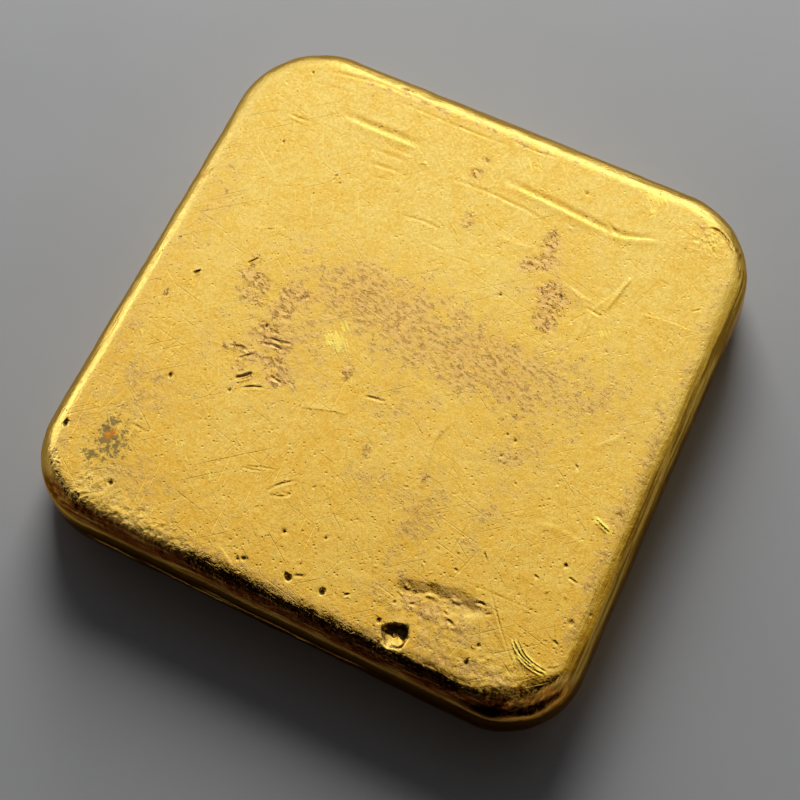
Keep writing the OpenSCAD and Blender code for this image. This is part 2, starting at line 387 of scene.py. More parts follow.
def from_line(xy, line):
    """Distance of each point from the line, above 0 on its left, and how far along it lies, 0 to 1."""
    lengths = np.concatenate([[0], np.cumsum(np.hypot(*np.diff(line, axis=0).T))])
    best, across, along = np.full(len(xy), np.inf), np.zeros(len(xy)), np.zeros(len(xy))
    for n, (a, b) in enumerate(zip(line, line[1:])):
        span = b - a
        part = np.clip((xy - a) @ span / max(span @ span, 1e-12), 0, 1)
        off = xy - a - part[:, None] * span
        distance = np.hypot(*off.T)
        closer = distance < best
        best = np.where(closer, distance, best)
        across = np.where(closer, np.copysign(distance, span[0] * off[:, 1] - span[1] * off[:, 0]), across)
        along = np.where(closer, (lengths[n] + part * (lengths[n + 1] - lengths[n])) / lengths[-1], along)
    return across, along


def near(xy, line, margin):
    """Numbers of the points in the line's box, with a margin round it."""
    low, high = line.min(axis=0) - margin, line.max(axis=0) + margin
    return np.flatnonzero(((xy >= low) & (xy <= high)).all(axis=1))


def cut_stroke(rise, xy, width, depth, points, lip=0.25):
    """Adds a groove with faint raised lips, which fades out at both ends."""
    line = through(points)
    index = near(xy, line, 5 * width)
    across, along = from_line(xy[index], line)
    away = np.abs(across)
    fade = np.sqrt(np.clip(4 * along * (1 - along), 0, 1)) * np.exp(-np.maximum(away - 4 * width, 0))
    wobble = 1 + 0.35 * noise(np.column_stack([xy[index], 0 * across]), 0.5, 71)
    groove = -np.exp(-((across / width) ** 2)) + lip * np.exp(-(((away - 1.9 * width) / width) ** 2))
    rise[index] += depth * fade * wobble * groove


def raise_burr(rise, xy, height, points):
    """Adds a line that is steep on its left and gentle on its right, as a scratch leaves it."""
    line = through(points)
    index = near(xy, line, 1.2)
    across, along = from_line(xy[index], line)
    fade = np.clip(6 * along * (1 - along), 0, 1)
    rise[index] += height * fade * np.exp(-((across / np.where(across > 0, 0.08, 0.5)) ** 2))


def spots(xy, marks):
    """How strongly the marks cover each point, from 0 to 1."""
    cover = np.zeros(len(xy))
    for x, y, half_w, half_h, strength in marks:
        reach = ((xy[:, 0] - x) / half_w) ** 2 + ((xy[:, 1] - y) / half_h) ** 2
        cover = np.maximum(cover, strength * np.exp(-0.7 * reach))
    return cover


def nicks():
    """Small knocks scattered over the upper face, most of them towards the front right."""
    rng = np.random.default_rng(5)
    marks = []
    for number in range(NICKS):
        middle = rng.uniform((6, -20), (21, -4)) if number % 2 else rng.uniform((-20, -20), (21, 20.5))
        turn, half = math.radians(rng.uniform(-50, 60)), rng.uniform(0.05, 0.22)
        reach = half * np.array([math.cos(turn), math.sin(turn)])
        marks.append((rng.uniform(0.05, 0.09), rng.uniform(-0.045, 0.055), [middle - reach, middle + reach]))
    return marks


def blowhole(points):
    """Distance from the blowhole's middle in radii, made ragged, and how far back in it each point lies."""
    off = (points[:, :2] - BLOWHOLE) / BLOWHOLE_R
    ragged = np.hypot(*off.T) * (1 + 0.22 * noise(points, 0.7, 33) + 0.12 * noise(points, 0.25, 34))
    back = off @ (-0.25, 0.97) + 0.45 * noise(points, 0.55, 35) + 0.25 * noise(points, 0.2, 36)
    return ragged, back


def hollows(points):
    """Depth of the gas pits, each squeezed and turned in its own way, and of the blowhole."""
    hollow = np.zeros(len(points))
    for number, (x, y, radius, depth) in enumerate(PITS):
        squeeze, turn = 0.75 + 0.5 * (number * 0.618 % 1), number * 2.4
        off_x, off_y = points[:, 0] - x, points[:, 1] - y
        along = off_x * math.cos(turn) + off_y * math.sin(turn)
        across = (off_y * math.cos(turn) - off_x * math.sin(turn)) / squeeze
        distance = np.hypot(along, across) * (1 + 0.3 * noise(points, 0.3, 31)) / radius
        apron = np.hypot(off_x - 0.2 * radius, off_y + 0.4 * radius) / (1.3 * radius)
        bowl = depth * (np.sqrt(np.clip(1 - distance**2, 0, 1)) + 0.30 * np.clip(1 - apron**2, 0, 1))
        hollow = np.maximum(hollow, bowl)
    ragged, back = blowhole(points)
    hole = np.clip(1 - ragged**2, 0, 1) + 0.8 * smooth((1 - ragged) / 0.15) * smooth((back + 0.1) / 0.5)
    return np.maximum(hollow, BLOWHOLE_DEPTH * hole)


def cut_gouge(rise, xy, count, spacing, points):
    """Adds a gouge's strands side by side, every second one raised."""
    for n in range(count):
        shift = (n - (count - 1) / 2) * spacing
        slide = 0.2 * math.sin(5.1 * n)
        strand = [(x + slide, y + shift - 0.25 * slide) for x, y in points]
        cut_stroke(rise, xy, STRAND_W, STRAND_DEPTH * (-0.7 if n % 2 else 1), strand, STRAND_LIP)


def drop_lap(rise, points):
    """Lowers the face in front of the cold lap's ragged edge, and wrinkles it there."""
    xy = points[:, :2]
    across, along = from_line(xy, through(LAP_EDGE))
    below = -across + 0.22 * noise(points * (0.6, 1, 1), 0.9, 41) + 0.07 * noise(points, 0.3, 42)
    slope = np.clip(below / LAP_FACET, 0, 1) * smooth(np.sin(math.pi * along) * 3)
    rise -= LAP_DROP * slope * np.exp(-np.maximum(below - LAP_FACET, 0) / 0.9)
    lap_zone = spots(xy, [(11.0, -17.6, 3.8, 1.8, 1)]) * smooth(below / LAP_FACET)
    rise += lap_zone * (0.035 * noise(points * (0.5, 1, 1), 0.5, 43) + 0.02 * noise(points, 0.25, 44))


def top_relief(points):
    """How far the marks raise each point of the upper face and its rounded edge."""
    xy = points[:, :2]
    rise = -hollows(points)
    for width, depth, line in STROKES:
        cut_stroke(rise, xy, width, depth * (THIN_GAIN if width < THIN_W else WIDE_GAIN), line)
    for width, depth, line in nicks():
        cut_stroke(rise, xy, width, depth, line)
    for height, line in BURRS:
        raise_burr(rise, xy, height, line)
    for count, spacing, line in GOUGES:
        cut_gouge(rise, xy, count, spacing, line)
    drop_lap(rise, points)
    off_corner = (xy - CORNER_WEAR_FROM) @ CORNER_WEAR_DIRECTION
    rise -= CORNER_WEAR_DEPTH * smooth(off_corner / 1.9)
    hammered = spots(xy, HAMMERED_SPOTS)
    rise += hammered * (0.055 * noise(points, 0.30, 23) + 0.02 * noise(points, 0.16, 24))
    rough = spots(xy, ROUGH_SPOTS)
    rise -= rough * (0.015 + 0.035 * fractal(points * (0.8, 1.3, 1), 0.35, 2, 51))
    return np.minimum(rise, TOP_NOISE)


def on_front(points):
    """1 on the front edge and wall, and 0 elsewhere."""
    return smooth((-points[:, 1] - HALF_D + FLAT_INSET) / FRONT_FADE)


def wall_lines(points):
    """The thin ridges on the front wall."""
    rise = np.zeros(len(points))
    for x_from, x_to, z_from, z_to in WALL_LINES:
        along = np.clip((points[:, 0] - x_from) / (x_to - x_from), 0, 1)
        off = points[:, 2] - z_from - (z_to - z_from) * along - 0.08 * noise(points * (1, 0, 0), 2.5, 27)
        rise += np.sqrt(4 * along * (1 - along)) * np.exp(-((off / WALL_LINE_W) ** 2))
    return WALL_LINE_HEIGHT * rise


def relief(points, normals):
    """How far every point of the bar moves along its normal."""
    top = smooth((normals[:, 2] - 0.3) / 0.5)
    rise = 0.030 * fractal(points, 9.0, 2, 11) + 0.009 * fractal(points, 1.8, 2, 13)
    rise += 0.0030 * fractal(points, 0.45, 2, 15)
    rise[top > 0] += top[top > 0] * top_relief(points[top > 0])
    edge = 1 - smooth((normals[:, 2] - 0.90) / 0.1)
    facing_x = (np.abs(normals[:, 0]) > np.abs(normals[:, 1]))[:, None]
    streaks = fractal(points * np.where(facing_x, (1.6, 0.12, 1.6), (0.12, 1.6, 1.6)), 1.0, 2, 17)
    front = on_front(points)
    rise += edge * (0.030 * fractal(points, 1.5, 2, 19) + (0.026 - 0.018 * front) * streaks)
    rise += edge * front * wall_lines(points)
    lumpy = spots(points[:, :2], [(19.6, -19.8, 2.4, 2.4, 1)]) * edge
    rise += lumpy * 0.12 * noise(points, 1.5, 25)
    return (rise - TOP_NOISE * top) * smooth(points[:, 2] / 1.2)


# ---------------------------------------------------------------- the mesh


def underside_height(xy):
    """The face that froze in the open: a shallow dish with faint rings of slow freezing."""
    points = np.column_stack([xy, np.zeros(len(xy))])
    from_middle = np.hypot(*(xy.T)) + 0.8 * noise(points, 7.0, 61)
    dish = DISH_DEPTH * np.clip(1 - (from_middle / DISH_R) ** 2, 0, 1)
    rings = 0.018 * (1 - np.cos(2 * math.pi * from_middle / 2.3)) * smooth((DISH_R - from_middle) / 4)
    grain = 0.006 * (1 + noise(points, 0.9, 63))
    return dish + rings + grain * smooth((DISH_R + 3 - from_middle) / 3)


def under_rim(ring, radius):
    """The underside's place for a grid line on the rim: the lines share the level ring out evenly."""
    end = (HEIGHT - BASE_EDGE_R) * math.tan(DRAFT) - BASE_EDGE_R / math.cos(DRAFT)
    counts = np.array([0, *np.cumsum(RING_COUNTS)])
    share = np.interp(ring, [-1, 0, 1, 2, 3], counts / counts[-1])
    return -FLAT_INSET + (end + FLAT_INSET) * share, 0 * ring, 0 * ring, 0 * ring - 1


def bar_mesh():
    """The closed mesh: a fine sheet over the top and walls, and a coarse sheet underneath."""
    lines_x, lines_y = grid_lines(HALF_W), grid_lines(HALF_D)
    points, normals = spread(lines_x, lines_y, rim_profile)
    count_x, count_y = points.shape[:2]
    flat_points, flat_normals = points.reshape(-1, 3), normals.reshape(-1, 3)
    moved = flat_points + flat_normals * relief(flat_points, flat_normals)[:, None]
    ids = np.arange(count_x * count_y).reshape(count_x, count_y)
    quads = np.stack([ids[:-1, :-1], ids[1:, :-1], ids[1:, 1:], ids[:-1, 1:]], axis=-1).reshape(-1, 4)

    under, _ = spread([v[::COARSE] for v in lines_x], [v[::COARSE] for v in lines_y], under_rim)
    inner = under[1:-1, 1:-1].reshape(-1, 3)
    inner[:, 2] = underside_height(inner[:, :2])
    under_ids = ids[::COARSE, ::COARSE].copy()
    under_ids[1:-1, 1:-1] = (len(moved) + np.arange(len(inner))).reshape(under_ids[1:-1, 1:-1].shape)

    def side(i, j, next_i, next_j):
        """A coarse cell's side, with the fine sheet's points on it where it lies on the border."""
        on_border = (i == next_i and i in (0, under_ids.shape[0] - 1)) or (
            j == next_j and j in (0, under_ids.shape[1] - 1))
        if not on_border:
            return [int(under_ids[i, j])]
        step_i, step_j = next_i - i, next_j - j
        return [int(ids[i * COARSE + k * step_i, j * COARSE + k * step_j]) for k in range(COARSE)]

    faces = quads.tolist()
    for i, j in itertools.product(range(under_ids.shape[0] - 1), range(under_ids.shape[1] - 1)):
        corners = [(i, j), (i, j + 1), (i + 1, j + 1), (i + 1, j)]
        faces.append([v for a, b in zip(corners, corners[1:] + corners[:1]) for v in side(*a, *b)])
    mesh = bpy.data.meshes.new("cast_bar_skin")
    mesh.from_pydata(np.vstack([moved, inner]) * MM, [], faces)
    mesh.update()
    return mesh


def thinned(mesh):
    """The same mesh with fewer triangles where it is smooth."""
    piece = bpy.data.objects.new("full_mesh", mesh)
    bpy.context.collection.objects.link(piece)
    triangulate = piece.modifiers.new("triangles", "TRIANGULATE")
    triangulate.quad_method = "SHORTEST_DIAGONAL"
    decimate = piece.modifiers.new("thin", "DECIMATE")
    decimate.ratio = TRIANGLES / sum(len(p.vertices) - 2 for p in mesh.polygons)
    result = bpy.data.meshes.new_from_object(piece.evaluated_get(bpy.context.evaluated_depsgraph_get()))
    bpy.data.objects.remove(piece)
    bpy.data.meshes.remove(mesh)
    return result


# The paint of the upper face's marks stops this far below it, and pits shallower than this get less of the
# painted black shade
FACE_REACH, BLACK_PIT_DEPTH = 2.2, 0.16


def pit_cover(points, ragged, back):
    """How much painted black shade the gas pits and the back of the blowhole get, for the dark they reflect.
    """
    xy = points[:, :2]
    cover = smooth((1.05 - ragged) / 0.1) * smooth((back + 0.05) / 0.2)
    for x, y, radius, depth in PITS:
        distance = np.hypot(xy[:, 0] - x, xy[:, 1] - y - 0.1 * radius) / (0.85 * radius)
        cover += smooth(depth / BLACK_PIT_DEPTH) * np.exp(-(distance**4))
    return np.clip(cover, 0, 1)


def soot_and_painted_shade(points, ragged):
    """How sooty the right wall is, and how much painted shade the front and its worn corner get: a red tint
    and a dark red, which stand in for the dark room and the shadowed floor they reflect.
    """
    down = HEIGHT - points[:, 2]
    front = on_front(points) * smooth((ragged - 1.1) / 0.2)
    off_corner = (points[:, :2] - CORNER_WEAR_FROM) @ CORNER_WEAR_DIRECTION
    corner = smooth((off_corner - 0.3) / 1.0) * smooth((down - 0.22) / 0.4)
    # Painted shade on the front: a dark band along its rounded edge and a darker lower wall, where it
    # reflects the dark room and the floor in its shadow
    upper_shade_band = smooth((down - 0.12) / 0.3) * smooth((1.45 - down) / 0.4)
    lower_wall_shade = smooth((down - 2.0) / 1.0)
    # The ridges on the front wall are kept free of the painted shade
    bare = 1 - np.clip(front * wall_lines(points) / WALL_LINE_HEIGHT, 0, 1)
    soot = smooth((points[:, 0] - 19.0) / 1.5) * smooth((down - 0.12) / 0.4) * (1 - front)
    reddish = bare * np.maximum(front * smooth((down - 0.3) / 0.8), corner)
    dark_red = bare * np.maximum(front * np.maximum(upper_shade_band, lower_wall_shade), 0.6 * corner)
    return [soot, reddish, dark_red]


def paint(mesh):
    """Writes how much each kind of tarnish, mark and painted shade covers each point, for the gold to read.
    """
    places = np.empty(3 * len(mesh.vertices))
    mesh.vertices.foreach_get("co", places)
    points = places.reshape(-1, 3) / MM
    xy = points[:, :2]
    on_top = smooth((points[:, 2] - (HEIGHT - FACE_REACH)) / 1.0)
    ragged, back = blowhole(points)
    fresh = spots(xy, FRESH_SPOTS)
    for _, _, line in GOUGES:
        fresh = np.maximum(fresh, np.exp(-((from_line(xy, through(line))[0] / 0.3) ** 2)))
    mean_corner_r = sum(CORNER_R.values()) / len(CORNER_R)
    past_corner = np.maximum(np.abs(xy) - (HALF_W - mean_corner_r, HALF_D - mean_corner_r), 0)
    rim = smooth((np.hypot(*past_corner.T) - mean_corner_r + RIM_INSET) / 0.8)
    facing_x = smooth(past_corner[:, 0] - past_corner[:, 1] + 0.5)
    pits = pit_cover(points, ragged, back)
    layers = {
        "tarnish": [on_top * spots(xy, area) for area in (FILM_SPOTS, ROUGH_SPOTS, STAIN_SPOTS)],
        # The third value under marks is the painted black shade in the pits and at the back of the blowhole
        "marks": [on_top * cover for cover in (spots(xy, ORANGE_SPOTS), fresh, pits)],
        "soot_and_painted_shade": soot_and_painted_shade(points, ragged),
        "form": [rim, spots(xy, HAMMERED_SPOTS), facing_x],
    }
    for name, channels in layers.items():
        colours = np.column_stack([*channels, np.ones(len(xy))])
        attribute = mesh.attributes.new(name, "FLOAT_COLOR", "POINT")
        attribute.data.foreach_set("color", colours.ravel().astype(np.float32))


# ---------------------------------------------------------------- materials

# Colours of the gold: where it is pale, deep, worn by handling and freshly scratched
GOLD, GOLD_DEEP, GOLD_WORN, GOLD_FRESH = (
    (0.89, 0.615, 0.130, 1), (0.86, 0.530, 0.080, 1), (0.88, 0.61, 0.15, 1), (0.96, 0.74, 0.12, 1))
# Colours of what covers the gold, and of the painted shade
FILM, ROUGH_FILM, CREASE = (0.85, 0.505, 0.150, 1), (0.84, 0.47, 0.16, 1), (0.22, 0.075, 0.012, 1)
# The last colour here is painted shade: the black in the pits and at the back of the blowhole
STAIN, ORANGE, PIT_SHADE_BLACK = (0.17, 0.13, 0.055, 1), (0.62, 0.22, 0.02, 1), (0.012, 0.005, 0.002, 1)
# The two reds here are painted shade on the front wall and worn corner, for the dark they reflect; the first
# colour is soot
SOOT, RED_GOLD_SHADE, DARK_RED_SHADE = (0.27, 0.14, 0.018, 1), (0.72, 0.38, 0.05, 1), (0.20, 0.050, 0.010, 1)
# Colours that the gold is multiplied by, in its dark specks and between its grains
PEPPER, GRAIN_DARK = (0.50, 0.33, 0.13, 1), (0.82, 0.76, 0.66, 1)
# Colour of the reflections at a grazing angle, and how rough plain gold is
EDGE_TINT, GOLD_ROUGHNESS = (0.92, 0.66, 0.36, 1), 0.22
# Sets of fine scratches: turn in degrees, how slowly they change along their length, shift
SCRATCH_SETS = (
    (12, 0.12, 0), (63, 0.15, 7), (-38, 0.14, 13), (88, 0.10, 21), (-71, 0.18, 34), (35, 0.22, 45))


class Nodes:
    """Short ways to add nodes to a node tree."""

    def __init__(self, tree):
        self.tree = tree
        tree.nodes.clear()

    def add(self, kind, inputs=None, **settings):
        node = self.tree.nodes.new(kind)
        for name, value in settings.items():
            setattr(node, name, value)
        for name, value in (inputs or {}).items():
            self.put(node.inputs[name], value)
        return node

    def put(self, socket, value):
        """Links an output to the socket, or sets the socket's own value."""
        if isinstance(value, bpy.types.NodeSocket):
            self.tree.links.new(value, socket)
        else:
            socket.default_value = value

    def math(self, operation, *values):
        node = self.add("ShaderNodeMath", operation=operation)
        for socket, value in zip(node.inputs, values):
            self.put(socket, value)
        return node.outputs[0]

    def mix(self, factor, first, second, blend="MIX"):
        node = self.add("ShaderNodeMix", data_type="RGBA", blend_type=blend, clamp_factor=True)
        for socket, value in zip((node.inputs[0], node.inputs[6], node.inputs[7]), (factor, first, second)):
            self.put(socket, value)
        return node.outputs[2]

    def noise(self, place, scale, detail=2.0, rough=0.5, distortion=0.0):
        inputs = {"Vector": place, "Scale": scale, "Detail": detail}
        inputs |= {"Roughness": rough, "Distortion": distortion}
        return self.add("ShaderNodeTexNoise", inputs).outputs["Fac"]

    def step(self, value, low, high):
        """0 below low, 1 above high, and a smooth rise between. If low is above high, a fall instead."""
        node = self.add("ShaderNodeMapRange", {"Value": value}, interpolation_type="SMOOTHSTEP")
        if low < high:
            ends = {"From Min": low, "From Max": high, "To Min": 0.0, "To Max": 1.0}
        else:
            ends = {"From Min": high, "From Max": low, "To Min": 1.0, "To Max": 0.0}
        for name, end in ends.items():
            node.inputs[name].default_value = end
        return node.outputs["Result"]

    def total(self, *terms):
        """The sum of value times weight over the terms."""
        result = 0.0
        for value, weight in terms:
            node = self.add("ShaderNodeMath", {0: value, 1: weight, 2: result}, operation="MULTIPLY_ADD")
            result = node.outputs[0]
        return result

    def cover(self, area, first, second, low, high):
        """Covers a painted area raggedly: noises, each with its weight, shift the area's edge about."""
        shift = -0.5 * (first[1] + second[1])
        return self.step(self.math("ADD", self.total((area, 1.0), first, second), shift), low, high)

    def coats(self, colour, *coats):
        """The colour under coats laid one over another, each given as its cover, strength and colour."""
        for cover, strength, coat in coats:
            colour = self.mix(self.math("MULTIPLY", cover, strength), colour, coat)
        return colour

    def crease(self, value, half_width):
        """1 along the lines where a noise crosses its middle value, and 0 away from them."""
        off_middle = self.math("ABSOLUTE", self.math("SUBTRACT", value, 0.5))
        return self.step(off_middle, half_width, 0.3 * half_width)

    def painted(self, name):
        """The three values that paint() wrote under this name."""
        colour = self.add("ShaderNodeAttribute", attribute_name=name).outputs["Color"]
        return self.add("ShaderNodeSeparateColor", {"Color": colour}).outputs

    def stretched(self, place, turn, scale):
        """The place turned about Z by so many degrees and then scaled."""
        turned = self.add("ShaderNodeMapping", {"Vector": place, "Rotation": (0, 0, math.radians(turn))})
        return self.add("ShaderNodeMapping", {"Vector": turned.outputs[0], "Scale": scale}).outputs[0]


def wall_streaks(n, place, facing_x, along, across, detail, rough):
    """Noise drawn out along each wall. facing_x is 1 on the left and right walls."""
    scales = (along, across, across), (across, along, across)
    return n.mix(facing_x, *(n.noise(n.stretched(place, 0, scale), 1.0, detail, rough) for scale in scales))


def dots(n, place, scale, outer, inner, patch_scale, patch_low, patch_high):
    """Small round marks that come in patches."""
    cells = n.add("ShaderNodeTexVoronoi", {"Vector": place, "Scale": scale}, feature="F1")
    patches = n.step(n.noise(place, patch_scale), patch_low, patch_high)
    return n.math("MULTIPLY", n.step(cells.outputs["Distance"], outer, inner), patches)


def scratches(n, place):
    """Fine straight scratches in several directions."""
    cover = 0.0
    for turn, length, shift in SCRATCH_SETS:
        line = n.stretched(place, turn, (length, 7.0, 7.0))
        moved = n.add("ShaderNodeVectorMath", {0: line, 1: (shift, shift * 0.37, 0)}, operation="ADD")
        cover = n.math("MAXIMUM", cover, n.step(n.noise(moved.outputs[0], 1.0, 1.0), 0.68, 0.80))
    return cover


def creases(n, place, rough, film):
    """Short thin folds, thick on the rough spots and thinner on the film."""
    along_laps = n.stretched(place, 14, (0.8, 1.7, 1.0))
    coarse = n.crease(n.noise(along_laps, 1.3, 4.0, 0.6, 0.5), 0.022)
    thin = n.crease(n.noise(along_laps, 2.9, 3.0, 0.6, 0.5), 0.028)
    broken = n.step(n.noise(along_laps, 1.9, 2.0), 0.45, 0.56)
    wrinkled = n.math("MULTIPLY", n.math("MAXIMUM", rough, n.math("MULTIPLY", film, 0.5)), broken)
    return n.math("MULTIPLY", n.math("MAXIMUM", coarse, thin), wrinkled)


def gold_covers(n, place):
    """How much each kind of tarnish, mark, grain and painted shade covers each point, by name."""
    c = SimpleNamespace()
    film, rough, stain = n.painted("tarnish")
    orange, fresh, c.pit = n.painted("marks")
    c.rim, c.hammered, facing_x = n.painted("form")
    # Soot on the right wall, and the painted shade of the front wall and worn corner
    soot, c.reddish, c.dark_red = n.painted("soot_and_painted_shade")

    cloud = n.noise(place, 0.9, 5.0, 0.6)
    c.lumps = n.noise(place, 1.7, 3.0, 0.6)
    c.fine = n.noise(place, 4.5, 4.0, 0.7)
    c.grit = n.noise(place, 11.0, 3.0, 0.7)
    c.tone = n.step(n.total((n.noise(place, 0.16, 3.0), 0.8), (cloud, 1.3), (c.fine, 1.1)), 1.25, 1.95)
    c.grain = n.step(n.total((c.fine, 0.6), (c.grit, 0.6)), 0.40, 0.80)

    film_cover = n.cover(film, (cloud, 2.2), (c.fine, 2.2), 0.25, 1.05)
    c.film = n.math("MULTIPLY", film_cover, n.total((n.step(film, 0.03, 0.25), 0.65), (1.0, 0.35)))
    c.rough = n.cover(rough, (cloud, 1.5), (c.fine, 1.5), 0.25, 0.75)
    c.creases = creases(n, place, c.rough, c.film)
    tarnished = n.step(n.total((c.film, 0.7), (c.rough, 0.7)), 0.3, 1.0)
    c.pepper = n.math("MULTIPLY", n.step(c.grit, 0.57, 0.66), tarnished)
    stain_cover = n.cover(stain, (n.noise(place, 2.3, 4.0, 0.7), 3.2), (c.fine, 1.2), 0.42, 0.80)
    c.stain = n.math("MULTIPLY", stain_cover, n.step(stain, 0.03, 0.15))
    c.orange = n.cover(orange, (cloud, 1.0), (c.fine, 1.5), 0.25, 1.0)
    hatch = n.noise(n.stretched(place, 47, (0.5, 7.0, 1.0)), 1.0, 2.0)
    c.fresh = n.step(n.total((fresh, 0.5), (hatch, 1.0), (c.fine, 0.4)), 0.92, 1.06)
    c.specks = dots(n, place, 1.5, 0.13, 0.06, 0.6, 0.50, 0.60)
    c.streaks = wall_streaks(n, place, facing_x, 0.3, 3.6, 3.0, 0.65)
    long_streaks = wall_streaks(n, place, facing_x, 0.12, 2.6, 4.0, 0.6)
    c.soot = n.math("MULTIPLY", n.step(long_streaks, 0.47, 0.60), soot)
    return c


def gold_colour(n, c):
    """The gold's colour: each coat in turn covers what lies under it, at its own strength."""
    gold = n.mix(c.tone, GOLD_DEEP, GOLD)
    gold = n.coats(gold, (c.film, 0.65, FILM), (c.rim, 0.8, GOLD_WORN))
    gold = n.mix(c.grain, n.mix(1.0, gold, GRAIN_DARK, "MULTIPLY"), gold)
    gold = n.coats(gold, (c.fresh, 0.6, GOLD_FRESH), (c.rough, 0.40, ROUGH_FILM), (c.creases, 0.78, CREASE))
    gold = n.coats(gold, (c.pepper, 0.58, n.mix(1.0, gold, PEPPER, "MULTIPLY")))
    gold = n.coats(gold, (c.stain, 0.80, STAIN), (c.orange, 0.90, ORANGE), (c.specks, 0.6, CREASE))
    # Painted shade: black in the pits, and a red tint and a dark red on the front wall and worn corner
    gold = n.coats(gold, (c.pit, 0.95, PIT_SHADE_BLACK), (c.soot, 0.85, SOOT), (c.reddish, 0.5, RED_GOLD_SHADE))
    return n.coats(gold, (c.dark_red, n.step(c.streaks, 0.85, 0.45), DARK_RED_SHADE))


def gold_height(n, place, c):
    """The fine relief, in millimetres, that is too small for the mesh."""
    dimples = dots(n, place, 2.3, 0.30, 0.08, 0.8, 0.42, 0.58)
    relief_terms = n.total(
        (c.lumps, 0.030), (c.fine, 0.010), (c.grit, 0.004), (scratches(n, place), -0.009),
        (c.specks, -0.015), (c.creases, -0.028), (c.fresh, 0.006), (dimples, -0.016))
    streaky = n.math("MULTIPLY", c.rim, n.total((c.reddish, -0.035), (c.rim, 0.05)))
    height = n.math("ADD", relief_terms, n.math("MULTIPLY", c.streaks, streaky))
    roughened = n.total((c.film, 0.006), (c.hammered, 0.05))
    height = n.math("ADD", height, n.math("MULTIPLY", c.fine, roughened))
    return n.math("MULTIPLY", height, n.total((c.reddish, -0.55), (c.hammered, 0.35), (1.0, 1.0)))


def gold_material():
    """Cast gold: bright metal under a thin uneven film, grainy and scratched all over, with painted shade in
    its pits and on its front.
    """
    material = bpy.data.materials.new("cast_gold")
    material.use_nodes = True
    n = Nodes(material.node_tree)
    metres = n.add("ShaderNodeTexCoord").outputs["Object"]
    place = n.add("ShaderNodeMapping", {"Vector": metres, "Scale": (1 / MM, 1 / MM, 1 / MM)}).outputs[0]
    c = gold_covers(n, place)
    roughness = n.total(
        (c.film, 0.10), (c.rough, 0.08), (c.stain, 0.15), (c.fresh, -0.05), (c.rim, -0.10), (c.pit, 0.3),
        (c.grain, -0.03), (1.0, GOLD_ROUGHNESS))
    bump = n.add("ShaderNodeBump", {"Strength": 1.0, "Distance": MM, "Height": gold_height(n, place, c)})
    inputs = {"Base Color": gold_colour(n, c), "Roughness": roughness, "Normal": bump.outputs[0]}
    shader = n.add("ShaderNodeBsdfPrincipled", inputs)
    shader.inputs["Metallic"].default_value = 1.0
    shader.inputs["Specular Tint"].default_value = EDGE_TINT
    n.put(n.add("ShaderNodeOutputMaterial").inputs[0], shader.outputs[0])
    return material


# Colours of the floor and of the backdrop behind it, and how strongly the far floor glows
PLASTER_DARK, PLASTER_PALE = (0.50, 0.50, 0.50, 1), (0.56, 0.56, 0.555, 1)
BACKDROP, FAR_GLOW = (0.62, 0.62, 0.63, 1), 0.85


def floor_material():
    """Pale matt plaster. Far from the bar it glows for the camera, to meet the backdrop."""
    material = bpy.data.materials.new("pale_floor")
    material.use_nodes = True
    n = Nodes(material.node_tree)
    place = n.add("ShaderNodeTexCoord").outputs["Object"]
    colour = n.mix(n.noise(place, 60.0, 4.0), PLASTER_DARK, PLASTER_PALE)
    shader = n.add("ShaderNodeBsdfPrincipled", {"Base Color": colour})
    shader.inputs["Roughness"].default_value = 0.85
    shader.inputs["Specular IOR Level"].default_value = 0.0
    shader.inputs["Emission Color"].default_value = BACKDROP
    distance = n.add("ShaderNodeVectorMath", {0: place}, operation="LENGTH").outputs["Value"]
    seen = n.add("ShaderNodeLightPath").outputs["Is Camera Ray"]
    glow = n.math("MULTIPLY", n.step(distance, 0.0, 0.8), seen)
    n.put(shader.inputs["Emission Strength"], n.math("MULTIPLY", glow, FAR_GLOW))
    n.put(n.add("ShaderNodeOutputMaterial").inputs[0], shader.outputs[0])
    return material


# ---------------------------------------------------------------- pieces


def make_bar():
    mesh = bar_mesh()
    mesh = thinned(mesh)
    paint(mesh)
    mesh.polygons.foreach_set("use_smooth", np.ones(len(mesh.polygons), bool))
    mesh.materials.append(gold_material())
    bar = bpy.data.objects.new("cast_bar_casting", mesh)
    bpy.context.collection.objects.link(bar)
    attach(bar, "root")
    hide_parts("cast_bar")
    return bar


def make_floor():
    half = 2.0
    corners = [(-half, -half, 0), (half, -half, 0), (half, half, 0), (-half, half, 0)]
    mesh = bpy.data.meshes.new("floor")
    mesh.from_pydata(corners, [], [(0, 1, 2, 3)])
    mesh.materials.append(floor_material())
    floor = bpy.data.objects.new("floor", mesh)
    bpy.context.collection.objects.link(floor)


# ---------------------------------------------------------------- light and camera

# Colours of the light from above, from the back and from the windows
WARM_ROOM, COOL_ROOM, COOL = (1.0, 0.94, 0.86, 1), (0.97, 1.03, 1.16, 1), (0.95, 1.03, 1.35)
# Colours of the dark room in front, near its edge, deep inside it and where it glows low at the sides
DARK_ROOM, BLACK_ROOM = (0.022, 0.007, 0.003, 1), (0.0015, 0.0006, 0.0004, 1)
FRONT_GLOW = (1.0, 0.88, 0.72, 1)
# Colour of the sky's light on the floor, and the share of it that gets there. The key light does the rest
FLOOR_LIGHT, FLOOR_SHARE = (0.8, 0.8, 0.8, 1), 0.015
# Powers of the bright room's level that give its red, green and blue
DIMMING = {"Red": 1.0, "Green": 1.2, "Blue": 2.3}


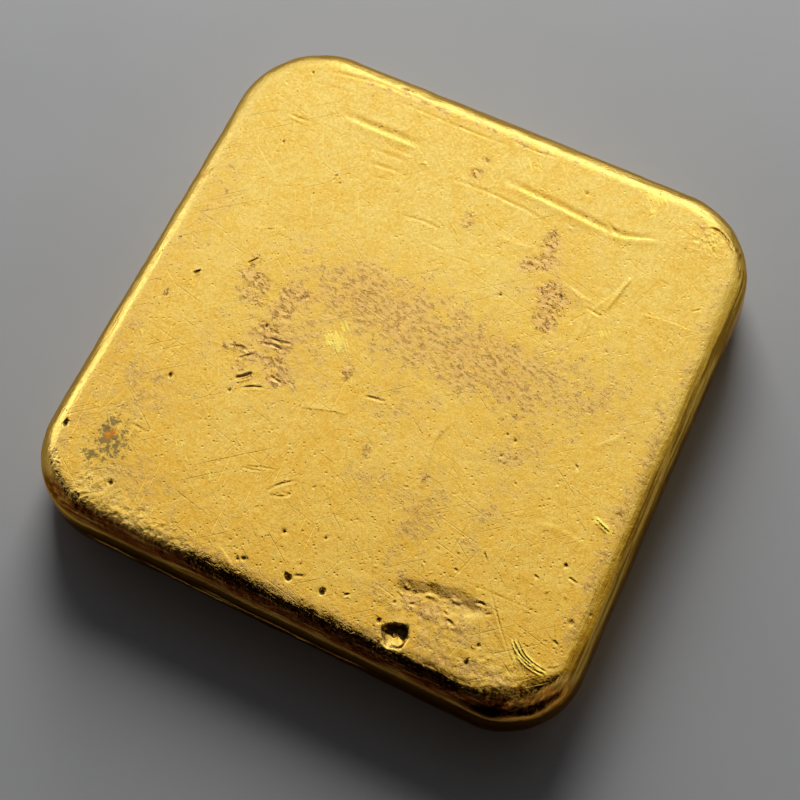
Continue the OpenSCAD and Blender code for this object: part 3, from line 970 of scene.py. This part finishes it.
def softbox(name, azimuth, elevation, distance, width, height, radiance, colour=(1, 1, 1)):
    """A soft panel that faces the bar. Azimuth 0 is in front of it and 90 to its right, in degrees."""
    a, e = math.radians(azimuth), math.radians(elevation)
    away = Vector((math.sin(a) * math.cos(e), -math.cos(a) * math.cos(e), math.sin(e)))
    lamp = bpy.data.lights.new(name, "AREA")
    lamp.shape = "RECTANGLE"
    lamp.size, lamp.size_y = width, height
    lamp.energy = radiance * math.pi * width * height
    lamp.color = colour
    box = bpy.data.objects.new(name, lamp)
    box.location = away * distance
    box.rotation_euler = away.to_track_quat("Z", "Y").to_euler()
    bpy.context.collection.objects.link(box)
    return box


def bright_room(n, x, y, z):
    """The light of the bright room: brightest at the back, dimmer to the right, low down and in front."""
    level = n.total((y, 0.75), (x, -0.25), (n.math("MAXIMUM", x, 0.0), -0.35))
    level = n.math("MINIMUM", n.math("MAXIMUM", n.math("ADD", level, 0.77), 0.1), 1.25)
    level = n.math("MULTIPLY", level, n.total((n.step(z, 0.75, 0.40), -0.20), (1.0, 1.0)))
    parts = {name: n.math("POWER", level, power) for name, power in DIMMING.items()}
    tint = n.mix(n.step(y, 0.1, 0.45), WARM_ROOM, COOL_ROOM)
    return n.mix(1.0, tint, n.add("ShaderNodeCombineColor", parts).outputs[0], "MULTIPLY")


def dark_room(n, x, y, z):
    """The light of the dark room, with a glow low down at its sides and a fainter one along its foot."""
    dark = n.mix(n.step(y, -0.12, -0.45), DARK_ROOM, BLACK_ROOM)
    at_sides = n.math("MULTIPLY", n.step(z, 0.5, 0.3), n.step(n.math("ABSOLUTE", x), 0.3, 0.6))
    return n.mix(n.total((at_sides, 0.42), (n.step(z, 0.30, 0.16), 0.045)), dark, FRONT_GLOW)


def make_light():
    """A bright room behind the bar and a dark one in front of it, with windows at the back and left."""
    softbox("back_window", 186, 30, 0.9, 0.55, 0.45, 1.1, COOL).visible_diffuse = False
    softbox("left_window", 266, 32, 0.9, 0.5, 0.5, 1.1, COOL).visible_diffuse = False
    softbox("floor_key", 203, 26, 0.31, 0.17, 0.16, 11.9).visible_glossy = False
    world = bpy.data.worlds.new("studio")
    bpy.context.scene.world = world
    world.use_nodes = True
    n = Nodes(world.node_tree)
    direction = n.add("ShaderNodeTexCoord").outputs["Generated"]
    x, y, z = n.add("ShaderNodeSeparateXYZ", {"Vector": direction}).outputs
    colour = n.mix(n.step(y, -0.12, 0.04), dark_room(n, x, y, z), bright_room(n, x, y, z))
    path = n.add("ShaderNodeLightPath").outputs
    colour = n.mix(path["Is Camera Ray"], colour, BACKDROP)
    colour = n.mix(path["Is Diffuse Ray"], colour, FLOOR_LIGHT)
    strength = n.total((path["Is Diffuse Ray"], FLOOR_SHARE - 1), (1.0, 1.0))
    background = n.add("ShaderNodeBackground", {"Color": colour, "Strength": strength})
    n.put(n.add("ShaderNodeOutputWorld").inputs[0], background.outputs[0])


# The camera: its direction from the bar, roll, distance and offsets, and its lens
CAMERA_AZIMUTH, CAMERA_ELEVATION, CAMERA_ROLL = 30.1, 70.55, -4.6
CAMERA_DISTANCE = 107.06 * MM
CAMERA_SIDE, CAMERA_UP = -0.22 * MM, -2.93 * MM
CAMERA_TARGET_Z = 3.16 * MM
CAMERA_LENS = 59.56


def make_camera():
    a, e, roll = (math.radians(v) for v in (CAMERA_AZIMUTH, CAMERA_ELEVATION, CAMERA_ROLL))
    back = Vector((math.sin(a) * math.cos(e), -math.cos(a) * math.cos(e), math.sin(e)))
    level = Vector((0, 0, 1)).cross(back).normalized()
    upright = back.cross(level)
    right = level * math.cos(roll) + upright * math.sin(roll)
    up = upright * math.cos(roll) - level * math.sin(roll)
    place = Vector((0, 0, CAMERA_TARGET_Z)) + back * CAMERA_DISTANCE + right * CAMERA_SIDE + up * CAMERA_UP
    data = bpy.data.cameras.new("camera")
    data.lens = CAMERA_LENS
    data.clip_start = 0.005
    camera = bpy.data.objects.new("camera", data)
    camera.matrix_world = Matrix.Translation(place) @ Matrix((right, up, back)).transposed().to_4x4()
    bpy.context.collection.objects.link(camera)
    bpy.context.scene.camera = camera


make_camera()
make_bar()
make_floor()
make_light()
bpy.context.scene.view_settings.view_transform = "Standard"
